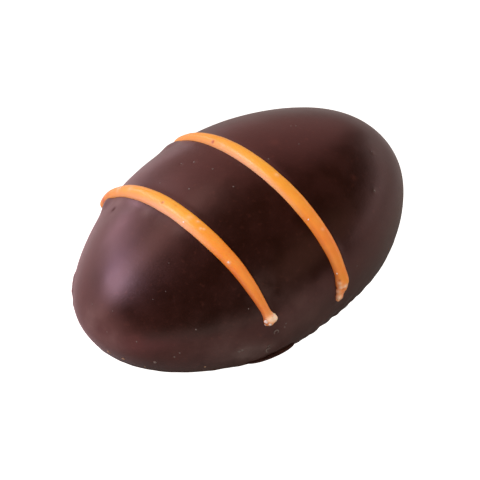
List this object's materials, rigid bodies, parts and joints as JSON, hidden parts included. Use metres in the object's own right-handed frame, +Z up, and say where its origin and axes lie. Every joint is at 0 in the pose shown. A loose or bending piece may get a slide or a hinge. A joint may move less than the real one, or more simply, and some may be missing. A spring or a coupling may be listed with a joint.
{
  "type": "filled chocolate",
  "caption": "Low oval filled chocolate with a dark smooth coating, a flat base and thin piped orange lines across its dome.",
  "frame": {"origin": "on the flat base, under the middle of the dome", "axes": "+Z up, out of the dome. +X along the long side, towards the end further from the two lines. The lines cross the dome along Y."},
  "size_m": [0.0403, 0.0271, 0.0134],
  "materials": {
    "dark_chocolate": "satin dark chocolate",
    "orange_piping": "soft satin coloured cocoa butter piping"
  },
  "bodies": {
    "root": {"filled_chocolate": "dark_chocolate"}
  },
  "joints": []
}
